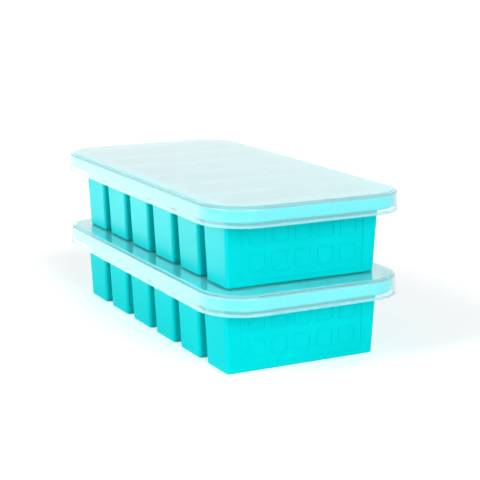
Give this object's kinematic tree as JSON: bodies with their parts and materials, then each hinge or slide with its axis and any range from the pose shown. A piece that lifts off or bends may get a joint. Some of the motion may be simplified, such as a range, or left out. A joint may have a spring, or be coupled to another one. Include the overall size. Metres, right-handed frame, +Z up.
{
  "type": "baby food freezer tray",
  "caption": "Stacked lidded silicone freezer trays with a row of deep rectangular wells that freeze baby food in portions.",
  "frame": {"origin": "on the ground under the middle of the stack", "axes": "+X along the trays towards the framed end wall, +Z up"},
  "size_m": [0.273, 0.14, 0.11],
  "materials": {
    "silicone": "moulded turquoise silicone, satin",
    "lid_plastic": "moulded translucent polypropylene, lightly frosted",
    "steel_wire": "drawn stainless steel wire"
  },
  "bodies": {
    "lower_unit": {"lower_tray": "silicone", "lower_rim_frame": "steel_wire"},
    "lower_lid": {"lower_lid": "lid_plastic"},
    "upper_unit": {"upper_tray": "silicone", "upper_rim_frame": "steel_wire"},
    "upper_lid": {"upper_lid": "lid_plastic"}
  },
  "joints": [
    {"name": "lower_lid_lift", "type": "slide", "parent": "lower_unit", "child": "lower_lid", "axis": [0, 0, 1], "range_m": [0, 0.06]},
    {"name": "upper_tray_lift", "type": "slide", "parent": "lower_lid", "child": "upper_unit", "axis": [0, 0, 1], "range_m": [0, 0.06]},
    {"name": "upper_lid_lift", "type": "slide", "parent": "upper_unit", "child": "upper_lid", "axis": [0, 0, 1], "range_m": [0, 0.06]}
  ]
}
